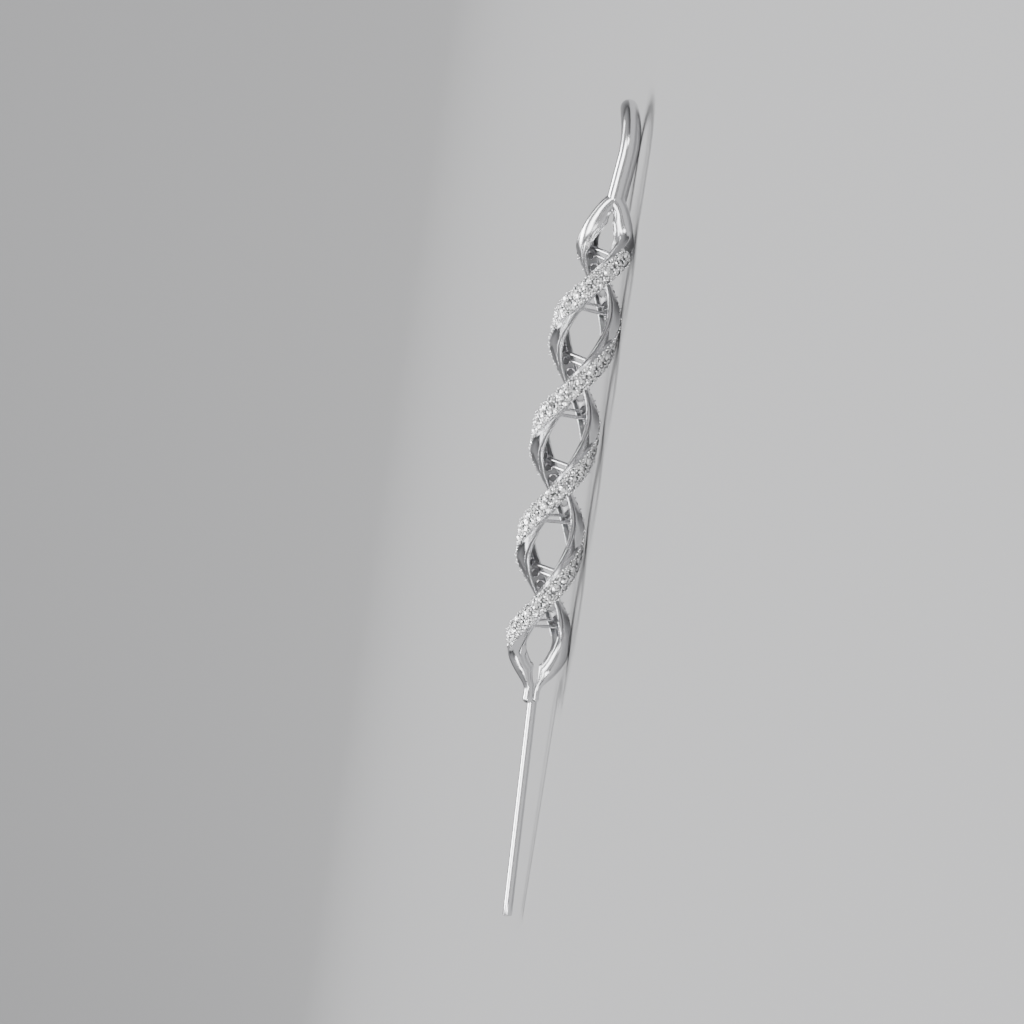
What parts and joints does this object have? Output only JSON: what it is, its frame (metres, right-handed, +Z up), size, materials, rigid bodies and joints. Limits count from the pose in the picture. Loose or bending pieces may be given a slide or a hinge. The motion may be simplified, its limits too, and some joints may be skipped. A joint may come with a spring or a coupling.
{
  "type": "ear cuff with lobe post",
  "caption": "Rigid ear cuff: a wire hook over the ear, twisted strands set with small clear stones on their outer faces, thin cross bars and a straight lobe post.",
  "frame": {"origin": "middle of the cuff's box on the table it lies on", "axes": "+X from the lobe post towards the hook over the ear, -Y the cuff's front, +Z up from the table it lies on"},
  "size_m": [0.0766, 0.0126, 0.0065],
  "materials": {
    "white_metal": "polished white metal",
    "clear_stone": "cut clear stones in a polished setting"
  },
  "bodies": {
    "root": {"cuff_frame": "white_metal", "pave_band_a": "clear_stone", "pave_band_b": "clear_stone"}
  },
  "joints": []
}
